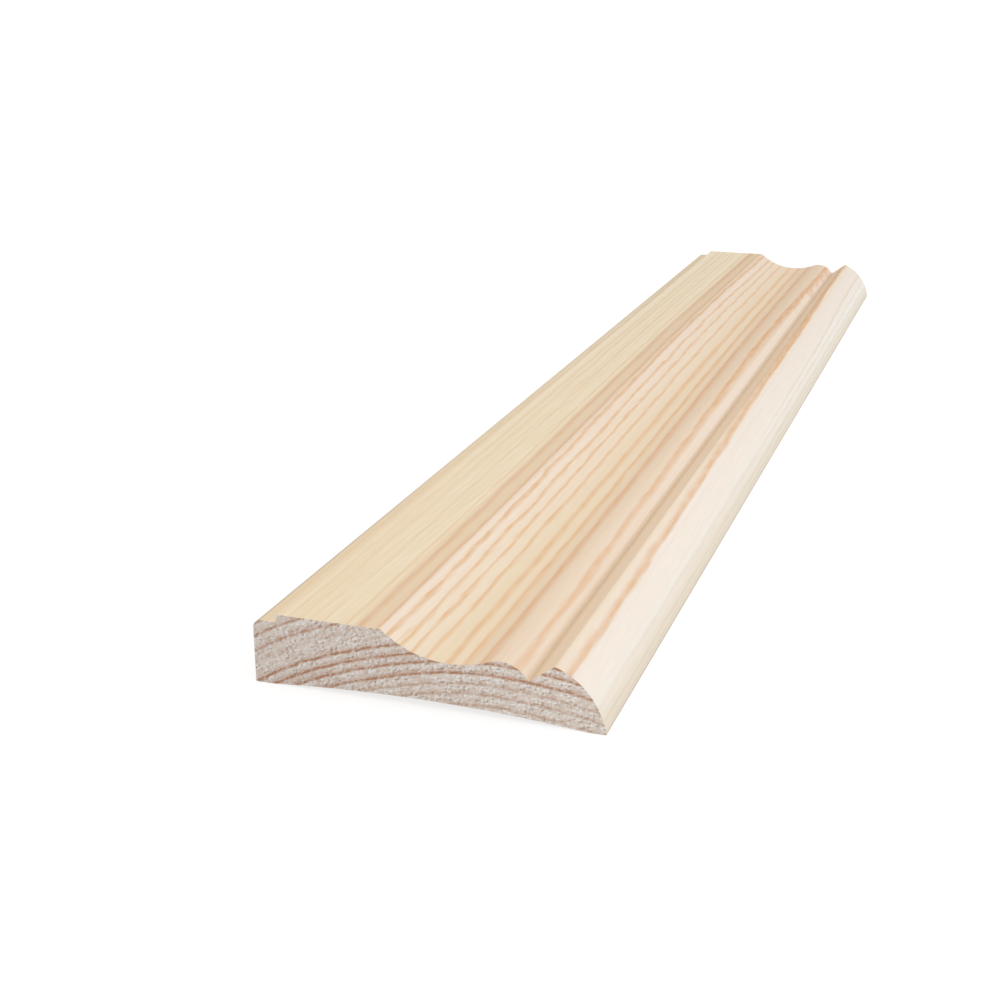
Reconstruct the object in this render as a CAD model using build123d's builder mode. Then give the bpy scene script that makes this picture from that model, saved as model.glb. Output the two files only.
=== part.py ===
from build123d import *

import os
from math import sqrt

# Architrave: one planed and moulded length of solid pine, lying on its back.
# X runs across the width, from the thick outer edge (-X) to the thin inner edge (+X),
# Y along the length and Z away from the wall. The origin is on the back plane, in the
# middle of the width and of the length. All sizes are in millimetres.

# Overall sizes
length = 400.0
width = 70.0
thickness = 14.6  # from the back plane to the flat face

# Thick outer edge, with a low shelf beside the face
shelf_width = 5.0
shelf_drop = 1.6  # below the face
edge_round = 1.7

# Ogee: a cove that runs tangent into a bead
cove_radius = 20.5
cove_depth = 5.0  # from the face to the floor of the cove
bead_radius = 6.2
bead_drop = 3.05  # from the face to the crown of the bead

# V quirk between the bead and the ovolo
quirk_depth = 6.2  # from the face to the bottom of the V
quirk_width = 5.0  # of the V's sloping side, measured across

# Ovolo along the thin inner edge
ovolo_width = 9.7
ovolo_drop = 2.5  # from the face to the ovolo's upper arris
ovolo_radius = 15.0

# Back, hollowed between two narrow lands so that it sits tight on an uneven wall
outer_land = 3.4
inner_land = 3.7
hollow_depth = 1.45

# Machined arrises are not knife sharp
arris_round = 0.2

# Corners of the section, as (x, z), worked out from the two edges inwards
outer_x = -width / 2
inner_x = width / 2
shelf_z = thickness - shelf_drop
step_x = outer_x + shelf_width
ovolo_arris = (inner_x - ovolo_width, thickness - ovolo_drop)
quirk_bottom = (ovolo_arris[0] - quirk_width, thickness - quirk_depth)

# The bead's circle passes through the bottom of the V, and the cove's circle touches it
bead_centre_z = thickness - bead_drop - bead_radius
bead_centre_x = quirk_bottom[0] - sqrt(bead_radius**2 - (quirk_bottom[1] - bead_centre_z) ** 2)
cove_centre_z = thickness - cove_depth + cove_radius
centre_distance = cove_radius + bead_radius
cove_centre_x = bead_centre_x - sqrt(centre_distance**2 - (cove_centre_z - bead_centre_z) ** 2)
cove_share = cove_radius / centre_distance
ogee_point = (
    cove_centre_x + (bead_centre_x - cove_centre_x) * cove_share,
    cove_centre_z + (bead_centre_z - cove_centre_z) * cove_share,
)

# The flat face fills what the mouldings leave of the width
face_end_x = cove_centre_x - sqrt(cove_radius**2 - (cove_radius - cove_depth) ** 2)

outer_back = (outer_x, 0)
inner_back = (inner_x, 0)
outer_top = (outer_x, shelf_z)
shelf_corner = (step_x, shelf_z)
face_start = (step_x, thickness)
face_end = (face_end_x, thickness)


def corner(sketch, point):
    """The vertex of a sketch that lies at a point."""
    return sketch.vertices().sort_by_distance(Vector(*point))[0]


with BuildPart() as architrave:
    # The moulded section, drawn clockwise from the back of the thick edge
    with BuildSketch(Plane.XZ) as section:
        with BuildLine():
            Polyline(outer_back, outer_top, shelf_corner, face_start, face_end)
            RadiusArc(face_end, ogee_point, -cove_radius)
            RadiusArc(ogee_point, quirk_bottom, bead_radius)
            Line(quirk_bottom, ovolo_arris)
            RadiusArc(ovolo_arris, inner_back, ovolo_radius)
            Line(inner_back, (inner_x - inner_land, 0))
            SagittaArc((outer_x + outer_land, 0), (inner_x - inner_land, 0), hollow_depth)
            Line((outer_x + outer_land, 0), outer_back)
        make_face()
        fillet(corner(section, outer_top), edge_round)
        for arris in (outer_back, face_start, face_end, ovolo_arris):
            fillet(corner(section, arris), arris_round)
    extrude(amount=length / 2, both=True)

architrave.part.label = "architrave"

os.makedirs("parts", exist_ok=True)
export_step(architrave.part, "parts/architrave.step")

size = architrave.part.bounding_box().size
print(f"architrave {size.X:.2f} x {size.Y:.2f} x {size.Z:.2f} mm, {architrave.part.volume / 1000:.1f} cm3")
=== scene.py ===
"""A length of solid pine architrave on a pale floor: planed and moulded faces, sawn ends.

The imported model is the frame. One piece replaces its only node: the same section, run along the
same length by Geometry Nodes, with finer edges, sawn ends and the grain of real softwood. The
mesh is in metres. The sizes below and all lengths in the materials are in millimetres.
"""

import logging
import math
from dataclasses import dataclass, fields
from enum import Enum
from functools import partialmethod
from typing import Any

import bpy
import numpy as np
from mathutils import Matrix, Vector
from mathutils.geometry import delaunay_2d_cdt


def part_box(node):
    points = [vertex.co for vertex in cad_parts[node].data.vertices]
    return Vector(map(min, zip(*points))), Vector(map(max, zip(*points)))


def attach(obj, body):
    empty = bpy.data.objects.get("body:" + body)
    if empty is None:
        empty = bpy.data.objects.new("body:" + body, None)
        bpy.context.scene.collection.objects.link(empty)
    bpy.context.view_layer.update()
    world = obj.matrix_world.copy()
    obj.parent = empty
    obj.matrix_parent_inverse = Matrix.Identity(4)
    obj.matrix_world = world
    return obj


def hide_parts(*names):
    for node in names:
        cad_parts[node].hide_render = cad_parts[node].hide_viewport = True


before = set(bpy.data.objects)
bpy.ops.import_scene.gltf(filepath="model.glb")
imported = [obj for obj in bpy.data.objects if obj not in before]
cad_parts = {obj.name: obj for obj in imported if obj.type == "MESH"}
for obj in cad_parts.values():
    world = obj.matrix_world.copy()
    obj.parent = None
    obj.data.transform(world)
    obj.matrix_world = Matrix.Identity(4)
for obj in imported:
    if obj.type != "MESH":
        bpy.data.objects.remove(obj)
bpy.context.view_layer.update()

MM = 0.001
NODE = "architrave"
SEED_PATH = (1.0, 1.7, 0.6)
OCTAVE_SHARE = 0.55
log = logging.getLogger("architrave")

Point = tuple[float, float]
Span = tuple[float, float]
Size = tuple[float, float, float]
Curve = tuple[float, float, float, float]
Colour = tuple[int, int, int]
Socket = bpy.types.NodeSocket
Value = float | tuple[float, ...] | Socket


def linear(colour: Colour) -> tuple[float, ...]:
    """The linear colour of a colour as a screen shows it.

    Args:
        colour: Red, green and blue, 0 to 255.

    Returns:
        Linear red, green and blue from 0 to 1, and an alpha of 1.
    """
    shares = [c / 255 for c in colour]
    return (*(c / 12.92 if c <= 0.04045 else ((c + 0.055) / 1.055) ** 2.4 for c in shares), 1.0)


@dataclass(frozen=True)
class Figure:
    """A soft noise pattern with features of a size across and along.

    `seed` moves it, `detail` adds finer octaves, and `lean` is how far it moves across for each
    millimetre along. `curve` eases its values from the first two levels to the last two.
    """

    across: float
    along: float
    seed: float
    detail: float = 2.0
    lean: float = 0.0
    curve: Curve | None = None


@dataclass
class Graph:
    """Adds nodes to a shader or geometry tree, and takes plain numbers and sockets alike."""

    tree: bpy.types.NodeTree

    def feed(self, socket: Socket, value: Any) -> None:
        """Links a socket to an output, or sets it to a plain value.

        Args:
            socket: The input socket.
            value: The output socket or the plain value.
        """
        if isinstance(value, bpy.types.NodeSocket):
            self.tree.links.new(value, socket)
        else:
            socket.default_value = value

    def node(self, kind: str, inputs: dict[Any, Any] | None = None, **settings: Any) -> bpy.types.Node:
        """Adds one node.

        Args:
            kind: The node's type name.
            inputs: What goes into its sockets, by name or number.
            settings: Its own settings, such as its operation.

        Returns:
            The new node.
        """
        made = self.tree.nodes.new(kind)
        for name, value in settings.items():
            setattr(made, name, value)
        for key, value in (inputs or {}).items():
            self.feed(made.inputs[key], value)
        return made

    def out(self, kind: str, inputs: dict[Any, Any] | None = None, **settings: Any) -> Socket:
        """The first output of a new node."""
        return self.node(kind, inputs, **settings).outputs[0]

    def math(self, operation: str, *values: Value, clamp: bool = False) -> Socket:
        """The result of one Math node."""
        return self.out("ShaderNodeMath", dict(enumerate(values)), operation=operation, use_clamp=clamp)

    add = partialmethod(math, "ADD")
    sub = partialmethod(math, "SUBTRACT")
    mul = partialmethod(math, "MULTIPLY")
    div = partialmethod(math, "DIVIDE")
    mul_add = partialmethod(math, "MULTIPLY_ADD")

    def vector(self, x: Value, y: Value, z: Value = 0.0) -> Socket:
        """Three numbers as one vector."""
        return self.out("ShaderNodeCombineXYZ", {0: x, 1: y, 2: z})

    def parts(self, vector: Value) -> tuple[Socket, ...]:
        """The three numbers of a vector."""
        return tuple(self.node("ShaderNodeSeparateXYZ", {0: vector}).outputs)

    def scaled(self, vector: Value, by: Size) -> Socket:
        """A vector multiplied part by part."""
        return self.out("ShaderNodeVectorMath", {0: vector, 1: by}, operation="MULTIPLY")

    def shifted(self, vector: Value, by: Size) -> Socket:
        """A vector moved by another."""
        return self.out("ShaderNodeVectorMath", {0: vector, 1: by}, operation="ADD")

    def ease(
        self, value: Value, low: Value, high: Value, start: Value = 0.0, end: Value = 1.0
    ) -> Socket:
        """A smooth step between two values, from start at low to end at high."""
        spans = {0: value, 1: low, 2: high, 3: start, 4: end}
        return self.out("ShaderNodeMapRange", spans, interpolation_type="SMOOTHSTEP")

    def band(self, value: Value, rise: tuple[Value, Value], fall: tuple[Value, Value]) -> Socket:
        """1 between a rise and a fall, 0 beyond them."""
        return self.mul(self.ease(value, *rise), self.ease(value, *fall, 1.0, 0.0))

    def noise(self, place: Value, figure: Figure) -> Socket:
        """Soft noise.

        Args:
            place: Where to read it, in millimetres.
            figure: Its pattern.

        Returns:
            Its value, from 0 to 1 where the pattern has no curve.
        """
        if figure.lean:
            across, along, _ = self.parts(place)
            place = self.vector(self.mul_add(along, figure.lean, across), along)
        sized = self.scaled(place, (1 / figure.across, 1 / figure.along, 1.0))
        moved = self.shifted(sized, tuple(figure.seed * step for step in SEED_PATH))
        spec = {"Vector": moved, "Scale": 1.0, "Detail": figure.detail, "Roughness": OCTAVE_SHARE}
        level = self.out("ShaderNodeTexNoise", spec)
        return self.ease(level, *figure.curve) if figure.curve else level

    def blend(self, share: Value, first: Value, second: Value, mode: str = "MIX") -> Socket:
        """Two colours mixed.

        Args:
            share: How much of the second one goes in.
            first: The first colour.
            second: The second colour.
            mode: How they mix.

        Returns:
            The mixed colour.
        """
        made = self.node("ShaderNodeMix", data_type="RGBA", blend_type=mode)
        for name, value in (("Factor_Float", share), ("A_Color", first), ("B_Color", second)):
            self.feed(next(s for s in made.inputs if s.identifier == name), value)
        return next(s for s in made.outputs if s.identifier == "Result_Color")

    def grey(self, level: Value) -> Socket:
        """A grey of a level."""
        return self.out("ShaderNodeCombineColor", {0: level, 1: level, 2: level})

    def ramp(self, share: Value, stops: list[tuple[float, tuple[float, ...]]]) -> Socket:
        """A colour ramp.

        Args:
            share: Where to read it, from 0 to 1.
            stops: Place and colour of each stop, in order.

        Returns:
            Its colour there.
        """
        made = self.node("ShaderNodeValToRGB", {0: share})
        made.color_ramp.interpolation = "EASE"
        elements = made.color_ramp.elements
        while len(elements) < len(stops):
            elements.new(0.5)
        for element, (place, colour) in zip(elements, stops):
            element.position = place
            element.color = colour
        return made.outputs[0]


@dataclass
class Section:
    """The moulded section, from the thick outer edge at -X to the thin inner edge at +X."""

    width: float
    thickness: float
    shelf_width: float = 5.0
    shelf_drop: float = 1.6
    edge_round: float = 1.7
    cove_radius: float = 20.5
    cove_depth: float = 5.0
    bead_radius: float = 6.2
    bead_drop: float = 3.05
    quirk_depth: float = 6.2
    quirk_width: float = 5.0
    ovolo_width: float = 9.7
    ovolo_drop: float = 2.5
    ovolo_radius: float = 15.0
    outer_land: float = 3.4
    inner_land: float = 3.7
    hollow_depth: float = 1.45
    arris_round: float = 0.2
    arris_steps: tuple[float, ...] = (0.0, 0.33, 0.67, 1.0)
    step: float = 0.32
    fill_step: float = 0.175
    fill_margin: float = 0.6

    def run(self, start: Point, end: Point, radius: float) -> list[Point]:
        """Points along a straight run, or along an arc of less than half a turn.

        Args:
            start: Where it starts.
            end: Where it ends.
            radius: Its radius: positive where it turns right on the way, negative where it turns
                left, and 0 where it is straight.

        Returns:
            The points, in order, without the last one.
        """
        across, up = end[0] - start[0], end[1] - start[1]
        if not radius:
            count = max(1, round(math.dist(start, end) / self.step))
            return [(start[0] + across * k / count, start[1] + up * k / count) for k in range(count)]
        chord = Vector((across, up))
        side = -1 if radius > 0 else 1
        reach = math.sqrt(radius**2 - (chord.length / 2) ** 2)
        centre = Vector(start) + chord / 2 + Vector((-chord.y, chord.x)).normalized() * reach * side
        spoke = Vector(start) - centre
        turn = 2 * math.asin(chord.length / 2 / abs(radius))
        count = max(2, round(turn * abs(radius) / self.step))
        spokes = [Matrix.Rotation(side * turn * k / count, 2) @ spoke for k in range(count)]
        return [(centre.x + s.x, centre.y + s.y) for s in spokes]

    def corners(self) -> dict[str, Point]:
        """The corners of the section, worked out from its two edges inwards.

        Returns:
            Each corner by name, clockwise from the back of the thick edge.
        """
        outer, inner = -self.width / 2, self.width / 2
        shelf, face = self.thickness - self.shelf_drop, self.thickness
        arris = (inner - self.ovolo_width, face - self.ovolo_drop)
        quirk = (arris[0] - self.quirk_width, face - self.quirk_depth)
        bead_z = face - self.bead_drop - self.bead_radius
        bead_x = quirk[0] - math.sqrt(self.bead_radius**2 - (quirk[1] - bead_z) ** 2)
        cove_z = face - self.cove_depth + self.cove_radius
        apart = self.cove_radius + self.bead_radius
        cove_x = bead_x - math.sqrt(apart**2 - (cove_z - bead_z) ** 2)
        share = self.cove_radius / apart
        face_end = cove_x - math.sqrt(self.cove_radius**2 - (self.cove_radius - self.cove_depth) ** 2)
        return {
            "outer_back": (outer, 0.0),
            "edge_top": (outer, shelf - self.edge_round),
            "shelf_edge": (outer + self.edge_round, shelf),
            "shelf_foot": (outer + self.shelf_width, shelf),
            "face_start": (outer + self.shelf_width, face),
            "face_end": (face_end, face),
            "ogee": (cove_x + (bead_x - cove_x) * share, cove_z + (bead_z - cove_z) * share),
            "quirk": quirk,
            "ovolo_arris": arris,
            "inner_back": (inner, 0.0),
            "inner_land": (inner - self.inner_land, 0.0),
            "outer_land": (outer + self.outer_land, 0.0),
        }

    def softened(self, points: list[Point], corner: Point) -> list[Point]:
        """The outline with one arris rounded off.

        Args:
            points: The outline.
            corner: The arris, one of its points.

        Returns:
            The outline with a small curve in the arris's place.
        """
        place = min(range(len(points)), key=lambda k: math.dist(points[k], corner))
        before, after = points[place - 1], points[place + 1]
        middle = Vector(corner)
        start = middle + (Vector(before) - middle).normalized() * self.arris_round
        end = middle + (Vector(after) - middle).normalized() * self.arris_round
        curve = [start.lerp(middle, t).lerp(middle.lerp(end, t), t) for t in self.arris_steps]
        return points[:place] + [(p.x, p.y) for p in curve] + points[place + 1:]

    def outline(self) -> list[Point]:
        """The closed outline.

        Returns:
            Its points, clockwise from the back of the thick edge.
        """
        half_hollow = (self.width - self.outer_land - self.inner_land) / 2
        radii = {
            "edge_top": self.edge_round,
            "face_end": -self.cove_radius,
            "ogee": self.bead_radius,
            "ovolo_arris": self.ovolo_radius,
            "inner_land": -(half_hollow**2 + self.hollow_depth**2) / (2 * self.hollow_depth),
        }
        corners = self.corners()
        names = list(corners)
        points = []
        for name, after in zip(names, names[1:] + names[:1]):
            points += self.run(corners[name], corners[after], radii.get(name, 0.0))
        for name in ("face_start", "face_end", "ovolo_arris", "outer_back"):
            points = self.softened(points, corners[name])
        return points

    def inside(self, points: np.ndarray, outline: np.ndarray) -> np.ndarray:
        """Which points lie inside the outline.

        Args:
            points: The points to sort, one a row.
            outline: The outline's points, one a row.

        Returns:
            True for each point that is inside.
        """
        within = np.zeros(len(points), bool)
        for start, end in zip(outline, np.roll(outline, -1, axis=0)):
            if start[1] != end[1]:
                level = (start[1] > points[:, 1]) != (end[1] > points[:, 1])
                share = (points[:, 1] - start[1]) / (end[1] - start[1])
                within ^= level & (points[:, 0] < start[0] + share * (end[0] - start[0]))
        return within

    def lattice(self, outline: np.ndarray) -> np.ndarray:
        """Points that fill the section evenly, clear of its outline.

        Args:
            outline: The outline's points, one a row.

        Returns:
            The filling points, one a row.
        """
        rows = np.arange(0.0, self.thickness, self.fill_step * math.sqrt(3) / 2)
        x, z = np.meshgrid(np.arange(-self.width / 2, self.width / 2, self.fill_step), rows)
        x = x + (np.arange(len(rows)) % 2)[:, None] * self.fill_step / 2
        points = np.stack([x.ravel(), z.ravel()], 1)
        points = points[self.inside(points, outline)]
        clear = np.ones(len(points), bool)
        for start, end in zip(outline, np.roll(outline, -1, axis=0)):
            run = end - start
            off = points - start
            share = np.clip(off @ run / (run @ run), 0, 1)
            clear &= np.hypot(*(off - share[:, None] * run).T) > self.fill_step * self.fill_margin
        return points[clear]

    def mesh(self) -> tuple[bpy.types.Mesh, int, float]:
        """The section as a flat filled mesh, with how far round the outline each point lies.

        Returns:
            The mesh, how many of its first points are the outline, and the outline's length.
        """
        outline = np.array(self.outline())
        count = len(outline)
        runs = np.linalg.norm(np.roll(outline, -1, axis=0) - outline, axis=1)
        points = [Vector(p) for p in np.concatenate([outline, self.lattice(outline)])]
        sides = [(k, (k + 1) % count) for k in range(count)]
        filled, _, faces, *_ = delaunay_2d_cdt(points, sides, [], 0, 1e-7, False)
        corners = np.array(filled)
        faces = np.array(faces)
        faces = faces[self.inside(corners[faces].mean(1), outline)]
        mesh = bpy.data.meshes.new("section")
        mesh.from_pydata([(x * MM, 0.0, z * MM) for x, z in corners], [], faces.tolist())
        spread, rim = np.zeros(len(corners), np.float32), np.zeros(len(corners), np.float32)
        spread[:count] = np.concatenate([[0.0], np.cumsum(runs)[:-1]])
        rim[:count] = 1.0
        for name, values in (("across", spread), ("rim", rim)):
            mesh.attributes.new(name, "FLOAT", "POINT").data.foreach_set("value", values)
        return mesh, count, float(runs.sum())


class Tone(Enum):
    """The colours that a line of latewood or resin can have on a planed face."""

    ROSE = (225, 181, 132)
    AMBER = (228, 184, 136)
    UMBER = (225, 176, 133)
    TAN = (220, 180, 139)
    RUST = (225, 174, 122)
    HONEY = (226, 192, 148)
    FAWN = (225, 206, 176)


@dataclass(frozen=True)
class Line:
    """One line of latewood on the faces, where a growth ring comes out on the surface.

    It lies at `across` on the near end, rises over `lead` and fades over `trail`. `twine` is the
    weight of the second strand that winds round it, `fray` how far its slanting strokes push its
    edges, `comb` how far its lead is drawn out in fingers, and `late_comb` its trail towards the
    far end. `sway` is its share of the grain's drift, and `lean` how far it moves back on the last
    stretch. `grow` is the share of its depth that it only gains past the middle, and `fade` the
    share that it loses again at the far end.
    """

    across: float
    lead: float
    trail: float
    depth: float
    tone: Tone
    twine: float = 0.0
    fray: float = 0.5
    comb: float = 0.0
    late_comb: float = 0.0
    sway: float = 1.0
    lean: float = 0.0
    grow: float = 0.0
    fade: float = 0.0

    def inputs(self) -> dict[str, float]:
        """Its numbers, under the names of the line group's inputs."""
        names = [f.name for f in fields(self) if f.name != "tone"]
        return {name.replace("_", " ").title(): getattr(self, name) for name in names}


@dataclass(frozen=True)
class Zone:
    """The ground colour at a place across the faces: the wood's own, with painted shade in a few strips
    and a partly painted highlight in one.
    """

    across: float
    colour: Colour


@dataclass(frozen=True)
class FarTint:
    """What a strip of the faces turns to at the far end: shares of its own red, green and blue.

    It begins over `rise` and ends over `fall`, which both lie beyond the faces where not given.
    Where two strips overlap, the later one counts.
    """

    share: Size
    rise: Span = (-2.0, -1.0)
    fall: Span = (200.0, 201.0)


@dataclass(frozen=True)
class Ring:
    """One line of latewood on the sawn ends."""

    radius: float
    depth: float


@dataclass(frozen=True)
class Rings:
    """Where the growth rings lie, how they wander along the length and how a saw tears them, with
    painted highlights and painted shade on the torn fibres.
    """

    pith: Point = (15.5, -79.8)
    mid_radius: float = 89.8
    sway: float = 0.17
    sway_from: float = 9.0
    sway_length: float = 37.0
    wander: float = 1.1
    wander_length: float = 550.0
    wander_from: float = -200.0
    length_share: float = 0.05
    fibres: Figure = Figure(0.68, 0.54, 21.0, 1.0)
    # A step towards the shaded side: noise minus the same noise one step on gives each torn fibre a lit
    # and a shaded side, painted into the colour as highlight and shade.
    light_offset: Size = (0.28, -0.24, 0.0)
    tuft_and_highlight_curve: Curve = (0.0, 0.2, 0.0, 1.0)
    pit_curve: Curve = (-0.26, -0.06, 1.0, 0.0)
    patches: Figure = Figure(2.6, 0.9, 8.0, 1.0, curve=(0.35, 0.62, 0.3, 1.0))
    speck_scale: float = 1.1
    speck_stretch: Size = (0.8, 1.1, 1.0)
    speck_curve: Curve = (0.1, 0.42, 1.0, 0.0)
    speck_edge: float = 0.08
    glint_share: float = 0.45
    hole_share: float = 0.1

    def polar(self, graph: Graph, place: Value) -> tuple[Socket, Socket]:
        """A point of the section as the rings have it.

        Args:
            graph: The tree.
            place: The point, in millimetres.

        Returns:
            Its distance from the pith, and its distances along a ring, across and lengthwise.
        """
        x, y, z = graph.parts(place)
        off_x = graph.sub(x, self.pith[0])
        off_z = graph.sub(z, self.pith[1])
        square = graph.add(graph.mul(off_x, off_x), graph.mul(off_z, off_z))
        phase = graph.mul(graph.sub(x, self.sway_from), math.tau / self.sway_length)
        wave = graph.mul(graph.math("COSINE", phase), self.sway)
        radius = graph.sub(graph.math("SQRT", square), wave)
        around = graph.mul(graph.math("ARCTAN2", off_x, off_z), self.mid_radius)
        return radius, graph.vector(around, radius, graph.mul(y, self.length_share))

    def specks(self, graph: Graph, polar: Value, share: float) -> Socket:
        """Round specks in some cells of an even pattern.

        Args:
            graph: The tree.
            polar: The place, from polar().
            share: How many of the cells hold one.

        Returns:
            1 in the middle of a speck, 0 beside it.
        """
        spec = {"Vector": graph.scaled(polar, self.speck_stretch), "Scale": self.speck_scale}
        cells = graph.node("ShaderNodeTexVoronoi", spec, voronoi_dimensions="2D").outputs
        chosen = graph.ease(graph.parts(cells["Color"])[0], share - self.speck_edge, share, 1.0, 0.0)
        return graph.mul(graph.ease(cells["Distance"], *self.speck_curve), chosen)

    def torn(self, graph: Graph, polar: Value) -> tuple[Socket, Socket]:
        """The torn surface of a sawn end, with painted highlights and painted shade on its fibres.

        Args:
            graph: The tree.
            polar: The place, from polar().

        Returns:
            How much it is a tuft with its painted highlight, and a pit with its painted shade, from 0
            to 1 each.
        """
        beside = graph.shifted(polar, self.light_offset)
        # Lit and shaded sides of the fibres: painted highlight and painted shade, also used as relief.
        emboss = graph.sub(graph.noise(polar, self.fibres), graph.noise(beside, self.fibres))
        patch = graph.noise(polar, self.patches)
        tuft_and_highlight = graph.mul(graph.ease(emboss, *self.tuft_and_highlight_curve), patch)
        # Glints: painted highlights in round specks, a step off the holes.
        tuft_and_highlight = graph.math("MAXIMUM", tuft_and_highlight, self.specks(graph, beside, self.glint_share))
        pit = graph.mul(graph.ease(emboss, *self.pit_curve), patch)
        # Holes: real pits in round specks.
        pit = graph.math("MAXIMUM", pit, self.specks(graph, polar, self.hole_share))
        return tuft_and_highlight, pit

    def drift(self, graph: Graph, along: Value) -> Socket:
        """How far the grain has moved across the faces at a place along the length."""
        phase = graph.mul(graph.sub(along, self.wander_from), math.tau / self.wander_length)
        return graph.mul(graph.sub(1.0, graph.math("COSINE", phase)), self.wander)


def new_material(name: str) -> tuple[bpy.types.Material, Graph, bpy.types.Node]:
    """An empty material.

    Args:
        name: Its name.

    Returns:
        The material, a graph on its tree and its Principled shader.
    """
    material = bpy.data.materials.new(name)
    material.use_nodes = True
    material.node_tree.nodes.clear()
    graph = Graph(material.node_tree)
    shader = graph.node("ShaderNodeBsdfPrincipled")
    graph.node("ShaderNodeOutputMaterial", {0: shader.outputs[0]})
    return material, graph, shader


def finish(graph: Graph, shader: bpy.types.Node, wood: Any, colour: Socket, height: Socket) -> None:
    """Gives a shader a wood's colour, roughness, shine and relief.

    Args:
        graph: The material's tree.
        shader: Its Principled shader.
        wood: The finish, with its roughness, shine and bump.
        colour: The colour.
        height: The relief, in millimetres.
    """
    shader.inputs["Roughness"].default_value = wood.roughness
    shader.inputs["Specular IOR Level"].default_value = wood.shine
    graph.feed(shader.inputs["Base Color"], colour)
    bump = {"Strength": wood.bump, "Distance": MM, "Height": height}
    graph.feed(shader.inputs["Normal"], graph.out("ShaderNodeBump", bump))


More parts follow.
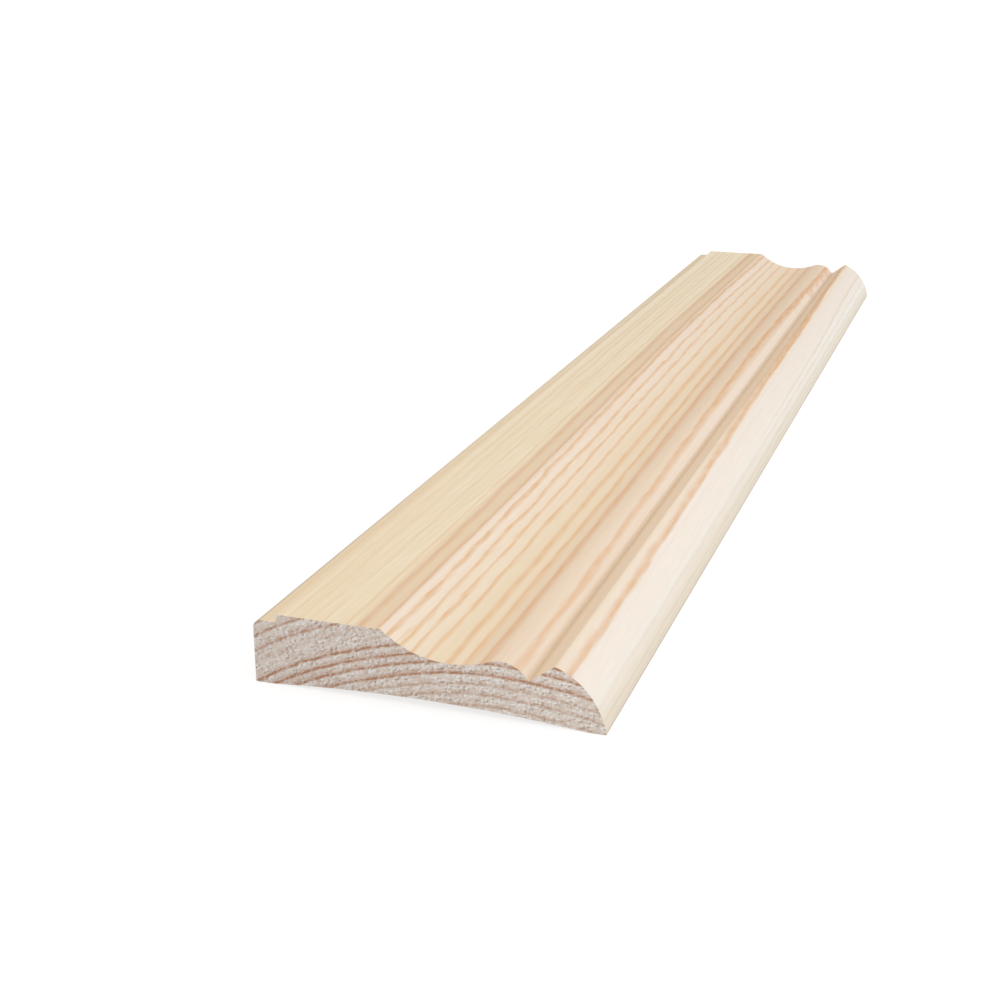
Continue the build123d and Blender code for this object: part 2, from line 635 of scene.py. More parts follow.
@dataclass(frozen=True)
class PlanedPine:
    """The planed faces: pale softwood with lines of latewood that wander, twine and fray."""

    perimeter: float
    rings: Rings = Rings()
    roughness: float = 0.5
    shine: float = 0.24
    bump: float = 0.5
    cove_arris: float = 40.3
    zone_sway: float = 0.45
    far_tint_span: Span = (-200.0, 200.0)
    late_span: Span = (60.0, 190.0)
    far_span: Span = (-120.0, 120.0)
    slow: Figure = Figure(2.7, 20.0, 3.1, 0.0)
    slow_bend: float = 0.8
    strokes: Figure = Figure(0.5, 8.0, 7.7, 1.5, lean=-0.06)
    winding: Figure = Figure(2.4, 9.0, 14.0, 0.0)
    winding_middle: float = 0.55
    winding_reach: float = 2.2
    strand_width: float = 0.4
    fingers: Figure = Figure(1.0, 5.0, 9.0, curve=(0.25, 0.8, 0.0, 1.0))
    finger_shear: Span = (0.25, 1.5)
    blots: Figure = Figure(1.6, 7.0, 17.0, 1.0, curve=(0.3, 0.68, 0.65, 0.95))
    fibres: Figure = Figure(0.16, 9.0, 12.0)
    fibre_fray: Curve = (0.3, 0.6, 0.8, 1.0)
    fibre_shade: Curve = (0.2, 0.8, 0.965, 1.03)
    fibre_height: float = 0.012
    ripple_scale: Size = (0.05, 0.6, 1.0)
    ripple_height: float = 0.006
    hairs: Figure = Figure(0.55, 30.0, 31.0, 1.0, lean=-0.067)
    hair_strip: tuple[Span, Span] = ((20.0, 27.0), (33.6, 35.2))
    hair_fade: Curve = (40.0, 120.0, 1.0, 0.3)
    hair_tones: tuple[tuple[Curve, Colour], ...] = (
        ((0.5, 0.7, 0.0, 0.36), (246, 232, 206)),
        ((0.3, 0.48, 0.26, 0.0), (228, 199, 160)),
    )
    streaks: Figure = Figure(0.9, 140.0, 8.0, curve=(0.38, 0.7, 0.0, 1.0))
    streak_share: Curve = (77.0, 80.0, 0.24, 0.1)
    streak_tone: Colour = (231, 202, 164)
    far_tint: Size = (0.925, 0.955, 0.985)
    ageing: tuple[FarTint, ...] = (
        FarTint((0.88, 0.85, 0.82), (34.4, 35.6), (77.9, 79.0)),
        FarTint((0.87, 0.83, 0.78), (72.4, 74.0), (77.6, 78.4)),
        FarTint((0.93, 0.915, 0.925), (40.2, 40.8), (54.0, 57.0)),
        # Paler and cooler on the bead's right flank towards the far end: partly the wood, partly
        # painted highlight.
        FarTint((0.985, 1.01, 1.04), (68.0, 69.2), (71.9, 72.4)),
        FarTint((0.915, 0.91, 0.91), (78.4, 79.4)),
        FarTint((0.985, 1.015, 1.06), (84.0, 89.5), (95.0, 97.0)),
        FarTint((0.85, 0.88, 0.89), fall=(18.6, 18.9)),
        # Darker along the rounded outer edge towards the far end: painted shade.
        FarTint((0.79, 0.78, 0.78), (12.2, 12.8), (13.9, 14.4)),
    )
    zones: tuple[Zone, ...] = (
        # Zone 12.95, between 11.9 and 14.0: a dark strip along the rounded outer edge, painted shade
        # where the round turns from the light.
        Zone(0.0, (232, 208, 175)), Zone(11.9, (228, 205, 174)), Zone(12.95, (172, 153, 130)),
        Zone(14.0, (229, 207, 173)), Zone(17.2, (239, 222, 195)), Zone(18.5, (233, 210, 177)),
        Zone(19.5, (233, 210, 177)), Zone(20.6, (239, 221, 192)), Zone(22.5, (237, 217, 185)),
        Zone(34.0, (238, 219, 187)), Zone(35.1, (232, 207, 175)), Zone(40.2, (230, 203, 172)),
        Zone(40.5, (242, 226, 209)), Zone(46.5, (239, 222, 199)), Zone(53.0, (236, 216, 186)),
        Zone(57.0, (239, 218, 188)), Zone(60.5, (234, 210, 180)), Zone(64.5, (235, 212, 185)),
        # Zone 70.6: the pale right flank of the bead, partly the wood's tone, partly painted highlight.
        # Zones 71.5 and 72.3: a darker strip at the bottom of the V, painted shade.
        Zone(67.5, (238, 218, 196)), Zone(70.6, (242, 228, 214)), Zone(71.5, (225, 206, 182)),
        Zone(72.3, (220, 197, 168)), Zone(73.8, (238, 213, 184)), Zone(77.7, (237, 213, 184)),
        Zone(78.3, (241, 225, 204)), Zone(82.0, (244, 233, 221)), Zone(85.5, (246, 236, 223)),
        Zone(88.0, (246, 238, 226)), Zone(92.5, (240, 229, 211)), Zone(93.8, (237, 226, 209)),
        # Zone 94.3: a dark strip along the thin inner edge, painted shade where the ovolo turns away to
        # the back.
        Zone(94.3, (209, 191, 167)), Zone(95.2, (233, 212, 183)),
    )
    lines: tuple[Line, ...] = (
        Line(0.3, 0.3, 0.6, 0.7, Tone.AMBER, twine=0.5),
        Line(3.0, 0.3, 0.8, 0.5, Tone.HONEY),
        Line(6.6, 0.3, 0.7, 0.7, Tone.AMBER, twine=0.5),
        Line(10.0, 0.3, 0.7, 0.8, Tone.AMBER, twine=0.5),
        Line(14.95, 0.6, 1.4, 0.95, Tone.HONEY, sway=-0.25, lean=0.7, grow=0.55),
        Line(18.75, 0.5, 0.9, 0.6, Tone.HONEY, sway=0.0, grow=0.85),
        Line(21.6, 0.5, 0.8, 0.9, Tone.HONEY, sway=-0.2, lean=-0.8, grow=0.45),
        Line(24.1, 0.5, 0.8, 0.9, Tone.HONEY, sway=0.2, lean=-1.0, grow=0.55),
        Line(26.6, 0.5, 0.6, 0.55, Tone.HONEY, sway=0.2, lean=-0.6, grow=0.75),
        Line(28.5, 0.5, 0.8, 1.05, Tone.HONEY, sway=0.5, lean=-0.9, grow=0.6),
        Line(30.4, 0.5, 0.6, 0.55, Tone.HONEY, sway=0.5, lean=-0.7, grow=0.8),
        Line(33.5, 0.5, 0.8, 0.95, Tone.HONEY, sway=0.6, lean=-0.6, grow=0.3),
        Line(36.05, 1.0, 1.5, 1.3, Tone.TAN, sway=0.8, lean=-0.9, grow=0.25),
        Line(39.6, 0.8, 0.6, 1.05, Tone.TAN, sway=0.72, lean=-0.75),
        Line(42.1, 0.6, 1.1, 1.2, Tone.ROSE, twine=0.3, fray=1.1, sway=1.1, lean=-0.6, grow=0.2),
        Line(44.8, 0.5, 0.9, 1.0, Tone.AMBER, twine=0.5, fray=1.1, sway=0.97, lean=-0.5),
        Line(47.5, 0.5, 0.8, 1.0, Tone.AMBER, twine=0.5, fray=1.1, lean=-0.3),
        Line(50.45, 0.6, 1.0, 0.95, Tone.AMBER, twine=0.5, fray=1.0, sway=0.9, lean=-0.2),
        Line(54.65, 1.2, 1.4, 0.95, Tone.AMBER, twine=0.3, sway=0.85),
        Line(58.15, 0.8, 1.7, 1.0, Tone.AMBER, sway=0.85),
        Line(61.65, 0.9, 2.6, 1.0, Tone.UMBER, sway=0.85, lean=-0.4),
        Line(
            68.4, 0.9, 1.9, 1.35, Tone.RUST,
            fray=1.2, late_comb=2.4, sway=1.05, lean=-1.3, grow=0.5, fade=0.25,
        ),
        Line(79.1, 3.5, 0.6, 1.15, Tone.TAN, sway=0.0, lean=1.5, grow=0.95),
        Line(81.2, 1.7, 0.9, 0.88, Tone.RUST, fray=0.7, comb=0.3, sway=1.05, lean=1.4),
        Line(88.75, 0.6, 0.9, 0.65, Tone.FAWN, sway=0.9, lean=2.5, grow=1.0),
        Line(88.95, 0.6, 0.9, 0.6, Tone.FAWN, sway=0.15, lean=1.0, grow=0.45),
        Line(91.8, 0.5, 0.8, 0.5, Tone.FAWN, sway=0.45, lean=0.9),
        Line(93.2, 0.5, 0.7, 0.45, Tone.FAWN, sway=0.35, lean=0.8),
        Line(95.2, 0.5, 0.9, 0.5, Tone.FAWN, sway=0.6, lean=1.6),
        Line(109.0, 1.2, 2.6, 0.5, Tone.AMBER, twine=0.4),
        Line(121.0, 1.0, 2.4, 0.5, Tone.AMBER, twine=0.4),
        Line(131.0, 0.6, 1.8, 0.6, Tone.AMBER, twine=0.5),
        Line(137.3, 0.5, 1.4, 0.8, Tone.AMBER, twine=0.5),
        Line(144.3, 0.4, 1.1, 0.85, Tone.AMBER, twine=0.6),
        Line(149.0, 0.35, 0.9, 0.9, Tone.UMBER, twine=0.6),
        Line(155.3, 0.3, 0.8, 0.95, Tone.ROSE, twine=0.6),
        Line(160.3, 0.3, 0.7, 0.95, Tone.ROSE, twine=0.6),
    )

    def motion(self, graph: Graph, grain: Socket) -> dict[str, Socket]:
        """What moves every line of latewood.

        Args:
            graph: The tree.
            grain: The place across and along the faces.

        Returns:
            The line group's shared inputs, by name.
        """
        across, along, _ = graph.parts(grain)
        slow = graph.sub(graph.noise(grain, self.slow), 0.5)
        turn = graph.sub(graph.noise(grain, self.winding), self.winding_middle)
        squeeze, lean = self.finger_shear
        comb = graph.vector(graph.mul(across, squeeze), graph.mul_add(across, lean, along))
        return {
            "Bent": graph.mul_add(slow, self.slow_bend, across),
            "Drift": self.rings.drift(graph, along),
            "Winding": graph.mul(turn, self.winding_reach),
            "Stroke": graph.sub(graph.noise(grain, self.strokes), 0.5),
            "Fingers": graph.noise(comb, self.fingers),
            "Late": graph.ease(along, *self.late_span),
            "Far": graph.ease(along, *self.far_span),
        }

    def line_group(self, shared: dict[str, Socket]) -> bpy.types.NodeTree:
        """A group that says how much of a line of latewood covers a place on the faces.

        Args:
            shared: The inputs that every line shares, by name.

        Returns:
            The group, with those inputs and a line's own ones.
        """
        group = bpy.data.node_groups.new("grain line", "ShaderNodeTree")
        for name in [*shared, *self.lines[0].inputs()]:
            group.interface.new_socket(name, in_out="INPUT", socket_type="NodeSocketFloat")
        group.interface.new_socket("Amount", in_out="OUTPUT", socket_type="NodeSocketFloat")
        graph = Graph(group)
        given = graph.node("NodeGroupInput").outputs
        moved = graph.mul_add(given["Drift"], given["Sway"], given["Bent"])
        moved = graph.mul_add(given["Late"], given["Lean"], moved)
        moved = graph.mul_add(given["Stroke"], given["Fray"], moved)
        off = graph.sub(moved, given["Across"])
        drawn = graph.mul_add(given["Comb"], given["Fingers"], 1.0)
        lead = graph.mul(graph.mul(given["Lead"], -1.0), drawn)
        late = graph.mul(graph.mul(given["Late Comb"], given["Fingers"]), given["Late"])
        trail = graph.mul(given["Trail"], graph.add(late, 1.0))
        main = graph.band(off, (lead, 0.0), (0.0, trail))
        wound = graph.math("ABSOLUTE", graph.add(off, given["Winding"]))
        strand = graph.mul(graph.ease(wound, 0.0, self.strand_width, 1.0, 0.0), given["Twine"])
        gained = graph.mul(given["Grow"], graph.sub(1.0, given["Far"]))
        lost = graph.mul(given["Fade"], given["Late"])
        kept = graph.mul(graph.sub(1.0, gained), graph.sub(1.0, lost))
        covered = graph.math("MAXIMUM", main, strand)
        amount = graph.mul(covered, graph.mul(given["Depth"], kept), clamp=True)
        graph.node("NodeGroupOutput", {"Amount": amount})
        return group

    def ground(self, graph: Graph, grain: Socket, drift: Socket) -> Socket:
        """The colour between the lines: its zones, which hold some painted shade and highlight, its
        hairs and streaks.

        Args:
            graph: The tree.
            grain: The place across and along the faces.
            drift: How far the grain has moved across them there.

        Returns:
            The colour.
        """
        across, along, _ = graph.parts(grain)
        moved = graph.math("MINIMUM", graph.mul_add(drift, self.zone_sway, across), self.cove_arris)
        share = graph.div(graph.math("MAXIMUM", across, moved), self.perimeter)
        colour = graph.ramp(share, [(z.across / self.perimeter, linear(z.colour)) for z in self.zones])
        near = graph.mul(graph.band(across, *self.hair_strip), graph.ease(along, *self.hair_fade))
        hairs = graph.noise(grain, self.hairs)
        for curve, tone in self.hair_tones:
            colour = graph.blend(graph.mul(graph.ease(hairs, *curve), near), colour, linear(tone))
        streak = graph.mul(graph.noise(grain, self.streaks), graph.ease(across, *self.streak_share))
        return graph.blend(streak, colour, linear(self.streak_tone))

    def aged(self, graph: Graph, colour: Socket, grain: Socket) -> Socket:
        """A colour with its slow change along the length, strip by strip, towards the far end.

        Args:
            graph: The tree.
            colour: The colour as it is at the near end.
            grain: The place across and along the faces.

        Returns:
            The changed colour.
        """
        across, along, _ = graph.parts(grain)
        tint = (*self.far_tint, 1.0)
        for strip in self.ageing:
            tint = graph.blend(graph.band(across, strip.rise, strip.fall), tint, (*strip.share, 1.0))
        return graph.blend(graph.ease(along, *self.far_tint_span), colour, tint, "MULTIPLY")

    def material(self) -> bpy.types.Material:
        """Builds the material.

        Returns:
            The finished material.
        """
        material, graph, shader = new_material("planed pine")
        grain = graph.node("ShaderNodeAttribute", attribute_name="grain").outputs["Vector"]
        shared = self.motion(graph, grain)
        group = self.line_group(shared)
        colour = self.ground(graph, grain, shared["Drift"])
        fibres = graph.noise(grain, self.fibres)
        fray = graph.mul(graph.noise(grain, self.blots), graph.ease(fibres, *self.fibre_fray))
        for line in self.lines:
            made = graph.node("ShaderNodeGroup", node_tree=group)
            for name, value in (shared | line.inputs()).items():
                graph.feed(made.inputs[name], value)
            colour = graph.blend(graph.mul(made.outputs[0], fray), colour, linear(line.tone.value))
        colour = self.aged(graph, colour, grain)
        shade = graph.grey(graph.ease(fibres, *self.fibre_shade))
        spec = {"Vector": graph.scaled(grain, self.ripple_scale), "Scale": 1.0}
        ripple = graph.mul(graph.out("ShaderNodeTexNoise", spec), self.ripple_height)
        height = graph.mul_add(fibres, self.fibre_height, ripple)
        finish(graph, shader, self, graph.blend(1.0, colour, shade, "MULTIPLY"), height)
        return material


@dataclass(frozen=True)
class SawnPine:
    """The sawn ends: grey, torn earlywood between brown rings of latewood, with painted highlights and
    painted shade on the torn fibres.
    """

    rings: Rings = Rings()
    roughness: float = 0.8
    shine: float = 0.2
    bump: float = 0.8
    grit_height: float = 0.08
    tuft_height: float = 0.05
    ring_in: Span = (-0.42, 0.05)
    ring_out: Span = (0.05, 0.75)
    ring_tail: Curve = (0.1, 1.6, 0.35, 0.0)
    earlywood: Colour = (226, 217, 208)
    gap: Colour = (211, 194, 180)
    # Pale torn fibres, and the painted highlights on them.
    fluff: Colour = (241, 241, 243)
    latewood: Colour = (180, 130, 98)
    # Brown of real pits, and of the painted shade on the fibres' shaded sides.
    pit: Colour = (168, 132, 108)
    pit_share: float = 0.6
    thin_span: Span = (-45.0, 40.0)
    thin_share: Size = (1.14, 1.16, 1.16)
    mottle: Figure = Figure(1.8, 1.2, 2.0, 3.0, curve=(0.3, 0.7, 0.0, 1.0))
    grit: Figure = Figure(0.3, 0.35, 5.0)
    grit_curve: Curve = (0.35, 0.7, 0.45, 1.0)
    wobble: Figure = Figure(3.0, 2.0, 4.0)
    wobble_bend: float = 0.35
    quick: Figure = Figure(0.6, 0.6, 6.0)
    quick_bend: float = 0.5
    beads: Figure = Figure(0.95, 0.9, 11.0, 1.0, curve=(0.3, 0.62, 0.52, 1.05))
    lines: tuple[Ring, ...] = (
        Ring(107.1, 0.5), Ring(104.7, 0.75), Ring(102.42, 0.8), Ring(99.74, 0.75), Ring(97.55, 0.3),
        Ring(95.9, 0.12), Ring(94.14, 1.0), Ring(92.14, 1.0), Ring(90.33, 1.0), Ring(88.08, 1.0),
        Ring(86.0, 0.55), Ring(83.95, 0.6), Ring(81.75, 0.55), Ring(79.6, 0.45),
    )

    def covered(self, graph: Graph, off: Socket, beads: Socket) -> Socket:
        """How much of a ring's colour lies on a place beside its line.

        Args:
            graph: The tree.
            off: How far beyond the line the place lies.
            beads: How strong the beads are there.

        Returns:
            The share, before the ring's own depth.
        """
        core = graph.mul(graph.ease(off, *self.ring_out, 1.0, 0.0), beads)
        outer = graph.math("MAXIMUM", core, graph.ease(off, *self.ring_tail))
        return graph.mul(graph.ease(off, *self.ring_in), outer)

    def material(self) -> bpy.types.Material:
        """Builds the material.

        Returns:
            The finished material.
        """
        material, graph, shader = new_material("sawn pine")
        where = graph.node("ShaderNodeTexCoord").outputs["Object"]
        place = graph.scaled(where, (1 / MM, 1 / MM, 1 / MM))
        radius, polar = self.rings.polar(graph, place)
        tuft_and_highlight, pit = self.rings.torn(graph, polar)
        colour = graph.blend(graph.noise(polar, self.mottle), linear(self.gap), linear(self.earlywood))
        grit = graph.noise(polar, self.grit)
        # Painted highlight on the lit sides of the fibres and on the glints.
        light = graph.mul(tuft_and_highlight, graph.ease(grit, *self.grit_curve))
        colour = graph.blend(light, colour, linear(self.fluff))
        wobble = graph.sub(graph.noise(polar, self.wobble), 0.5)
        quick = graph.sub(graph.noise(polar, self.quick), 0.5)
        bent = graph.mul_add(wobble, self.wobble_bend, graph.mul_add(quick, self.quick_bend, radius))
        beads = graph.noise(polar, self.beads)
        for ring in self.lines:
            covered = self.covered(graph, graph.sub(bent, ring.radius), beads)
            colour = graph.blend(graph.mul(covered, ring.depth), colour, linear(self.latewood))
        # Painted shade on the fibres' shaded sides, with the real pits.
        colour = graph.blend(graph.mul(pit, self.pit_share), colour, linear(self.pit))
        thin = graph.ease(graph.parts(place)[0], *self.thin_span)
        colour = graph.blend(thin, colour, (*self.thin_share, 1.0), "MULTIPLY")
        height = graph.mul_add(grit, self.grit_height, graph.mul(tuft_and_highlight, self.tuft_height))
        finish(graph, shader, self, colour, height)
        return material


@dataclass(frozen=True)
class BakeSheet:
    """The piece's own square map: the faces, the near end and the far end, row above row."""

    margin: float = 0.008
    heights: Size = (0.55, 0.205, 0.205)

    def place(self, graph: Graph, across: Value, up: Value, row: int) -> Socket:
        """Where a point lies on the map.

        Args:
            graph: The tree.
            across: Its share of the row's width.
            up: Its share of the row's height.
            row: The row's number.

        Returns:
            Its place on the map.
        """
        foot = sum(self.heights[:row]) + self.margin * (row + 1)
        u = graph.mul_add(across, 1 - 2 * self.margin, self.margin)
        return graph.vector(u, graph.mul_add(up, self.heights[row], foot))


@dataclass
class LengthTree(Graph):
    """Geometry Nodes that run a section along a length and close it with two sawn ends."""

    width: float
    thickness: float
    sheet: BakeSheet = BakeSheet()
    rings: Rings = Rings()
    weld: float = 1e-6
    sharp_angle: float = 32.0
    pit_sink: float = 0.6
    bare_sink: float = 0.4
    rim_calm: float = 0.8
    inputs: tuple[tuple[str, str], ...] = (
        ("Geometry", "Geometry"), ("Length", "Float"), ("Outline Points", "Int"),
        ("Outline Length", "Float"), ("Rows", "Int"), ("Saw Relief", "Float"),
        ("Face Finish", "Material"), ("End Finish", "Material"),
    )

    def position(self) -> Socket:
        """Where each point is."""
        return self.out("GeometryNodeInputPosition")

    def named(self, name: str, kind: str) -> Socket:
        """A named attribute of the geometry."""
        return self.out("GeometryNodeInputNamedAttribute", {"Name": name}, data_type=kind)

    def stored(self, geometry: Socket, name: str, value: Value, kind: str, domain: str) -> Socket:
        """The geometry with one more named attribute."""
        spec = {"Geometry": geometry, "Name": name, "Value": value}
        return self.out("GeometryNodeStoreNamedAttribute", spec, data_type=kind, domain=domain)

    def sampled(self, geometry: Socket, value: Socket, index: Socket, kind: str) -> Socket:
        """A value read at one point of a geometry."""
        spec = {"Geometry": geometry, "Value": value, "Index": index}
        return self.out("GeometryNodeSampleIndex", spec, data_type=kind, domain="POINT")

    def faces(self, given: Any) -> Socket:
        """The moulded faces: a grid whose columns follow the outline and its rows the length.

        Args:
            given: The tree's inputs.

        Returns:
            The faces, in place.
        """
        section, length, around = given["Geometry"], given["Length"], given["Outline Length"]
        count = self.add(given["Outline Points"], 0.0)
        rows = self.add(given["Rows"], 1.0)
        sizes = {"Size X": count, "Size Y": length}
        points = {"Vertices X": self.add(count, 1.0), "Vertices Y": rows}
        grid = self.out("GeometryNodeMeshGrid", sizes | points)
        x, y, _ = self.parts(self.position())
        column = self.math("ROUND", self.add(x, self.div(count, 2.0)))
        wrapped = self.math("MODULO", column, count)
        index = self.out("FunctionNodeFloatToInt", {0: wrapped}, rounding_mode="ROUND")
        point = self.sampled(section, self.position(), index, "FLOAT_VECTOR")
        across = self.sampled(section, self.named("across", "FLOAT"), index, "FLOAT")
        last = self.math("GREATER_THAN", column, self.sub(count, 0.5))
        across = self.mul_add(last, around, across)
        grain = self.vector(across, self.div(y, MM))
        share = self.add(self.div(y, length), 0.5)
        place = self.sheet.place(self, self.div(across, around), share, 0)
        grid = self.stored(grid, "grain", grain, "FLOAT_VECTOR", "CORNER")
        grid = self.stored(grid, "OFBake", place, "FLOAT2", "CORNER")
        px, _, pz = self.parts(point)
        moved = {"Geometry": grid, "Position": self.vector(px, y, pz)}
        return self.out("GeometryNodeSetPosition", moved)

    def end(self, given: Any, side: int) -> Socket:
        """One sawn end.

        Args:
            given: The tree's inputs.
            side: -1 for the near end, 1 for the far one.

        Returns:
            The end, in place and facing outwards.
        """
        x, _, z = self.parts(self.position())
        u = self.mul_add(x, 1 / (self.width * MM), 0.5)
        v = self.div(z, self.thickness * MM)
        place = self.sheet.place(self, u, v, 1 if side < 0 else 2)
        end = self.stored(given["Geometry"], "OFBake", place, "FLOAT2", "CORNER")
        end = self.stored(end, "sawn", True, "BOOLEAN", "FACE")
        offset = self.vector(0.0, self.mul(given["Length"], side / 2), 0.0)
        end = self.out("GeometryNodeSetPosition", {"Geometry": end, "Offset": offset})
        return self.out("GeometryNodeFlipFaces", {0: end}) if side > 0 else end

    def saw(self, geometry: Socket, relief: Socket) -> Socket:
        """The geometry with its ends torn by the saw, inwards only.

        Args:
            geometry: The whole length.
            relief: How deep the tearing goes.

        Returns:
            The torn geometry.
        """
        position = self.position()
        _, y, _ = self.parts(position)
        _, polar = self.rings.polar(self, self.scaled(position, (1 / MM, 1 / MM, 1 / MM)))
        tuft_and_highlight, pit = self.rings.torn(self, polar)
        sunk = self.mul_add(pit, self.pit_sink, self.mul_add(tuft_and_highlight, -self.bare_sink, self.bare_sink))
        sunk = self.mul(sunk, self.mul_add(self.named("rim", "FLOAT"), -self.rim_calm, 1.0))
        depth = self.mul(self.mul(sunk, relief), self.math("SIGN", y))
        offset = self.vector(0.0, self.mul(depth, -1.0), 0.0)
        spec = {"Geometry": geometry, "Selection": self.named("sawn", "BOOLEAN"), "Offset": offset}
        return self.out("GeometryNodeSetPosition", spec)

    def shaded(self, geometry: Socket) -> Socket:
        """Shades the geometry.

        Args:
            geometry: The whole length.

        Returns:
            The same, smooth but for its sharp edges.
        """
        angle = self.out("GeometryNodeInputMeshEdgeAngle")
        sharp = self.math("GREATER_THAN", angle, math.radians(self.sharp_angle))
        smooth = self.out("GeometryNodeSetShadeSmooth", {"Geometry": geometry}, domain="FACE")
        rough = {"Geometry": smooth, "Selection": sharp, "Shade Smooth": False}
        return self.out("GeometryNodeSetShadeSmooth", rough, domain="EDGE")

    def build(self) -> bpy.types.NodeTree:
        """Builds the tree.

        Returns:
            The tree, which turns the flat section into the dressed length.
        """
        for name, kind in self.inputs:
            self.tree.interface.new_socket(name, in_out="INPUT", socket_type="NodeSocket" + kind)
        self.tree.interface.new_socket("Geometry", in_out="OUTPUT", socket_type="NodeSocketGeometry")
        given = self.node("NodeGroupInput").outputs
        joined = self.node("GeometryNodeJoinGeometry")
        for part in (self.end(given, 1), self.end(given, -1), self.faces(given)):
            self.tree.links.new(part, joined.inputs[0])
        whole = {"Geometry": joined.outputs[0], "Distance": self.weld}
        whole = self.shaded(self.out("GeometryNodeMergeByDistance", whole))
        whole = self.saw(whole, given["Saw Relief"])
        whole = self.out("GeometryNodeRealizeInstances", {0: whole})
        planed = {"Geometry": whole, "Material": given["Face Finish"]}
        whole = self.out("GeometryNodeSetMaterial", planed)
        sawn = self.named("sawn", "BOOLEAN")
        ends = {"Geometry": whole, "Selection": sawn, "Material": given["End Finish"]}
        self.node("NodeGroupOutput", {"Geometry": self.out("GeometryNodeSetMaterial", ends)})
        return self.tree


def placed(name: str, data: bpy.types.ID) -> bpy.types.Object:
    """Puts a new object into the scene.

    Args:
        name: Its name.
        data: Its mesh, light or camera.

    Returns:
        The object.
    """
    made = bpy.data.objects.new(name, data)
    bpy.context.scene.collection.objects.link(made)
    return made


@dataclass
class Architrave:
    """The piece itself."""

    section: Section
    length: float
    rows: int = 64
    saw_relief: float = 0.25
    name: str = "moulded_length"

    def build(self) -> bpy.types.Object:
        """Makes the piece, dressed, and puts it in the CAD node's place.

        Returns:
            The finished piece.
        """
        flat, count, perimeter = self.section.mesh()
        rough = placed("section", flat)
        empty = bpy.data.node_groups.new("moulded length", "GeometryNodeTree")
        tree = LengthTree(empty, self.section.width, self.section.thickness).build()
        modifier = rough.modifiers.new("moulded length", "NODES")
        modifier.node_group = tree
        values = {
            "Length": self.length * MM,
            "Outline Points": count,
            "Outline Length": perimeter,
            "Rows": self.rows,
            "Saw Relief": self.saw_relief * MM,
            "Face Finish": PlanedPine(perimeter).material(),
            "End Finish": SawnPine().material(),
        }
        for item in tree.interface.items_tree:
            if item.in_out == "INPUT" and item.name in values:
                modifier[item.identifier] = values[item.name]
        rough.update_tag()
        graph = bpy.context.evaluated_depsgraph_get()
        made = rough.evaluated_get(graph)
        mesh = bpy.data.meshes.new_from_object(made, preserve_all_data_layers=True, depsgraph=graph)
        bpy.data.objects.remove(rough)
        mesh.name = self.name
        piece = placed(self.name, mesh)
        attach(piece, "root")
        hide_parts(NODE)
        mesh.calc_loop_triangles()
        faces = len(mesh.loop_triangles)
        log.info("%s: %d triangles, outline of %d points, %.1f mm", self.name, faces, count, perimeter)
        return piece


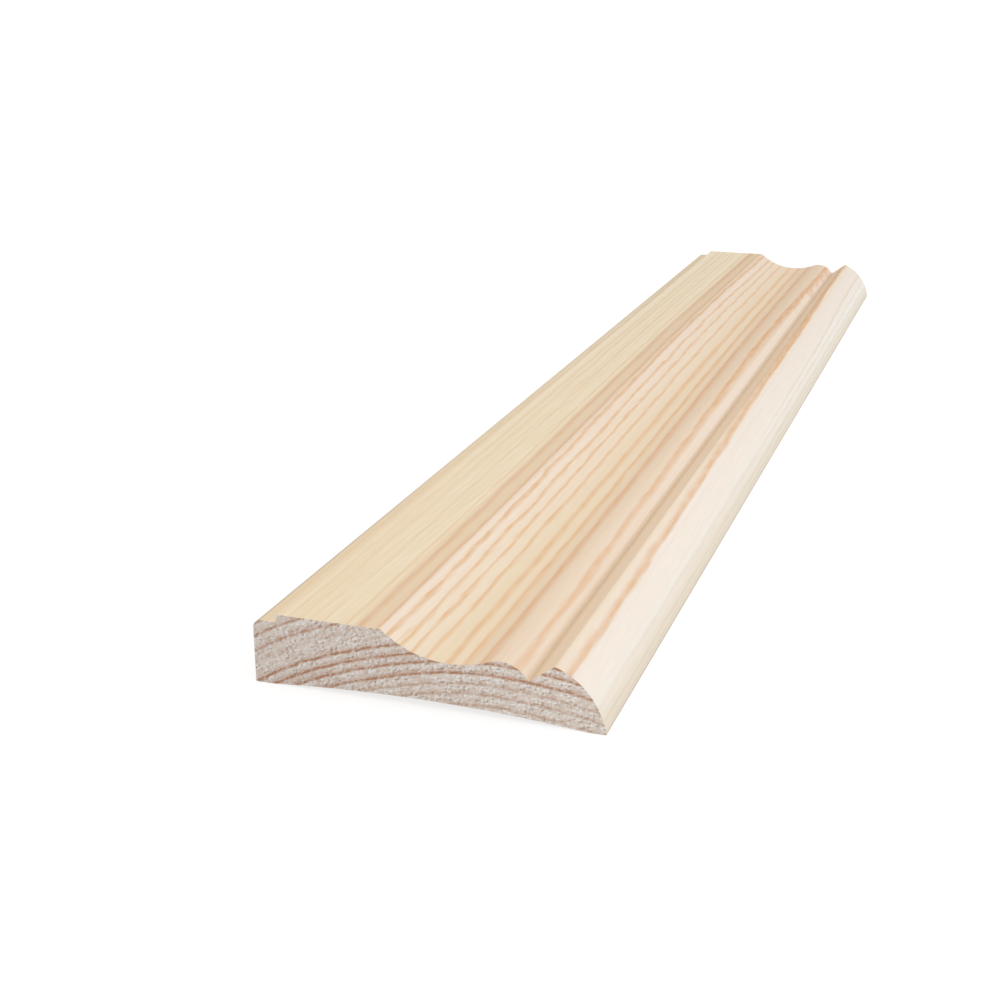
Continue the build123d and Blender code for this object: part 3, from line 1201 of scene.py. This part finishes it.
@dataclass
class Studio:
    """A pale floor under soft, plain light."""

    floor_size: float = 14.0
    floor_shade: float = 0.8
    seen_shade: float = 0.25
    floor_roughness: float = 0.9
    glow: float = 0.77
    sky: float = 0.7
    key_power: float = 0.99
    key_spread: float = 70.0
    key_side: float = 25.0
    key_front: float = 12.0

    def floor(self) -> bpy.types.Object:
        """The floor, white to the camera, with the piece's shadow on it.

        Returns:
            The floor.
        """
        half = self.floor_size / 2
        rim = [(-half, -half, 0), (half, -half, 0), (half, half, 0), (-half, half, 0)]
        mesh = bpy.data.meshes.new("floor")
        mesh.from_pydata(rim, [], [(0, 1, 2, 3)])
        material, graph, shader = new_material("pale floor")
        seen = graph.node("ShaderNodeLightPath").outputs["Is Camera Ray"]
        darker = graph.mul(seen, self.floor_shade - self.seen_shade)
        graph.feed(shader.inputs["Base Color"], graph.grey(graph.sub(self.floor_shade, darker)))
        graph.feed(shader.inputs["Emission Strength"], graph.mul(seen, self.glow))
        shader.inputs["Emission Color"].default_value = (1, 1, 1, 1)
        shader.inputs["Roughness"].default_value = self.floor_roughness
        mesh.materials.append(material)
        made = placed("floor", mesh)
        return made

    def light(self) -> None:
        """The sky all round, and a wide soft key from above and from the right."""
        world = bpy.data.worlds.new("sky")
        world.use_nodes = True
        world.node_tree.nodes.clear()
        graph = Graph(world.node_tree)
        path = graph.node("ShaderNodeLightPath").outputs
        mirrored = graph.add(path["Is Glossy Ray"], path["Is Transmission Ray"])
        seen = graph.add(path["Is Camera Ray"], mirrored, clamp=True)
        strength = graph.mul_add(seen, 1.0 - self.sky, self.sky)
        back = graph.out("ShaderNodeBackground", {"Color": (1, 1, 1, 1), "Strength": strength})
        graph.node("ShaderNodeOutputWorld", {0: back})
        bpy.context.scene.world = world
        lamp = bpy.data.lights.new("key", "SUN")
        lamp.energy = self.key_power
        lamp.angle = math.radians(self.key_spread)
        side, front = math.tan(math.radians(self.key_side)), math.tan(math.radians(self.key_front))
        key = placed("key", lamp)
        key.rotation_mode = "QUATERNION"
        key.rotation_quaternion = Vector((-side, front, -1.0)).to_track_quat("-Z", "Y")


@dataclass(frozen=True)
class Viewpoint:
    """The camera: low over the thin edge of the near end, looking along the length."""

    place: Size = (99.53, -444.88, 133.27)
    aim: Size = (-18.25, -103.80, 7.0)
    roll: float = -0.18
    lens: float = 56.61
    sensor: float = 36.0
    clip: Span = (0.01, 100.0)

    def build(self) -> bpy.types.Object:
        """Makes the camera and gives it to the scene.

        Returns:
            The camera.
        """
        data = bpy.data.cameras.new("camera")
        data.sensor_width = self.sensor
        data.lens = self.lens
        data.clip_start, data.clip_end = self.clip
        camera = placed("camera", data)
        look = (Vector(self.aim) - Vector(self.place)).to_track_quat("-Z", "Y").to_matrix()
        turned = look @ Matrix.Rotation(math.radians(self.roll), 3, "Z")
        camera.matrix_world = Matrix.Translation(Vector(self.place) * MM) @ turned.to_4x4()
        bpy.context.scene.camera = camera
        return camera


def main() -> None:
    """Builds the scene."""
    logging.basicConfig(level=logging.INFO, format="%(name)s: %(message)s")
    bpy.context.scene.view_settings.view_transform = "Standard"
    low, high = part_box(NODE)
    size = (high - low) / MM
    Architrave(Section(size.x, size.z), size.y).build()
    studio = Studio()
    studio.floor()
    studio.light()
    Viewpoint().build()
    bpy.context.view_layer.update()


if __name__ == "__main__":
    main()
